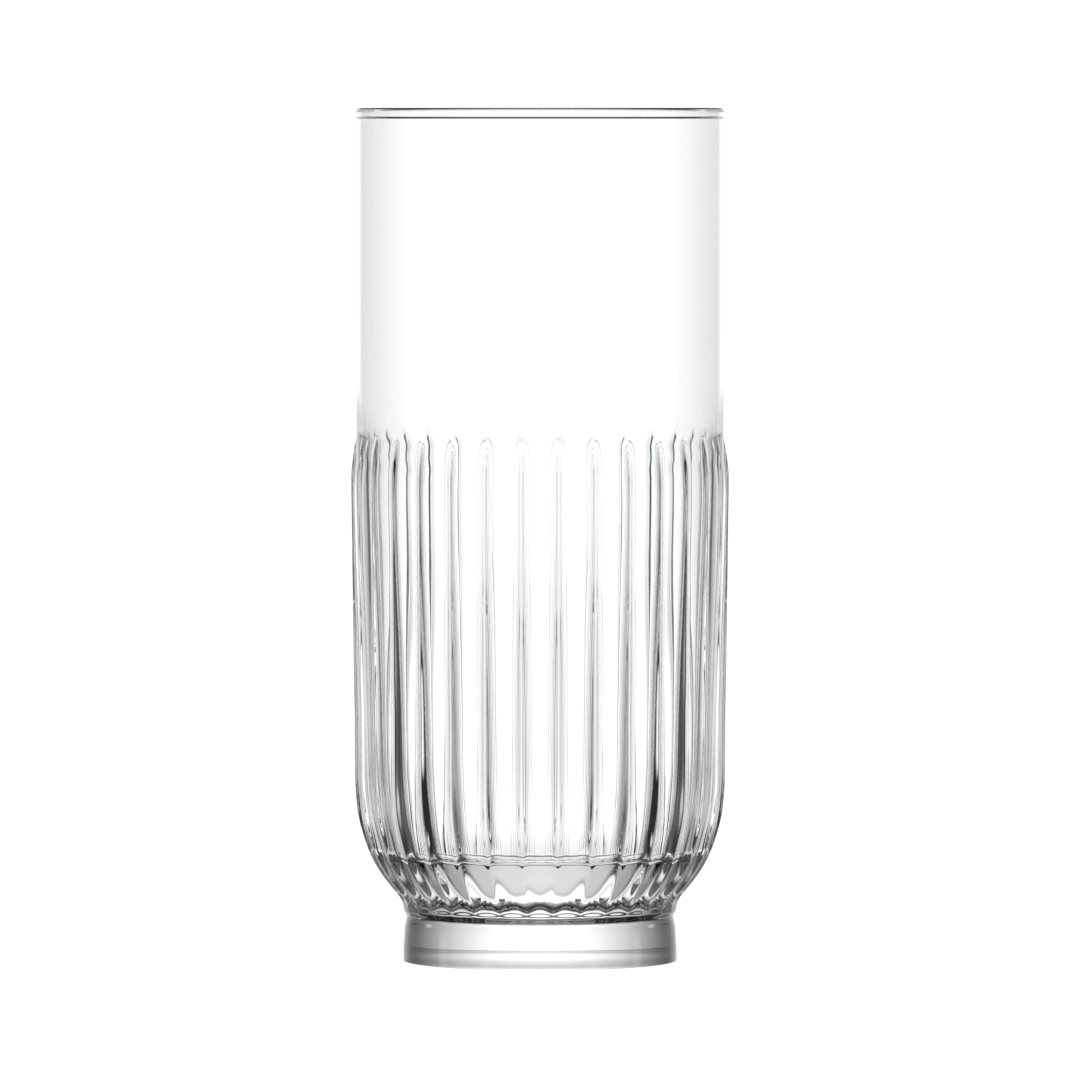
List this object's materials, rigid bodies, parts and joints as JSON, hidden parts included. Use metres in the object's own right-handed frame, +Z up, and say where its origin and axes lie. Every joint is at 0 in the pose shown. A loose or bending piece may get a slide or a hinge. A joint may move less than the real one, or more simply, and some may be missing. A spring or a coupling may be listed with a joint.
{
  "type": "tall tumbler",
  "caption": "Tall clear drinking glass: plain upper wall with a rounded lip, vertically ribbed lower wall, thick base and a short round foot.",
  "frame": {"origin": "middle of the circle that the foot stands on", "axes": "+Z up along the glass's axis, towards the lip; -Y is the side that faces the viewer, with a panel between two ribs"},
  "size_m": [0.0692, 0.0692, 0.1565],
  "materials": {
    "clear_glass": "fire-polished clear soda-lime glass, colourless, smooth and glossy inside and out"
  },
  "bodies": {
    "root": {"rim": "clear_glass", "upper_wall": "clear_glass", "fluted_wall": "clear_glass", "bowl_base": "clear_glass", "foot": "clear_glass"}
  },
  "joints": []
}
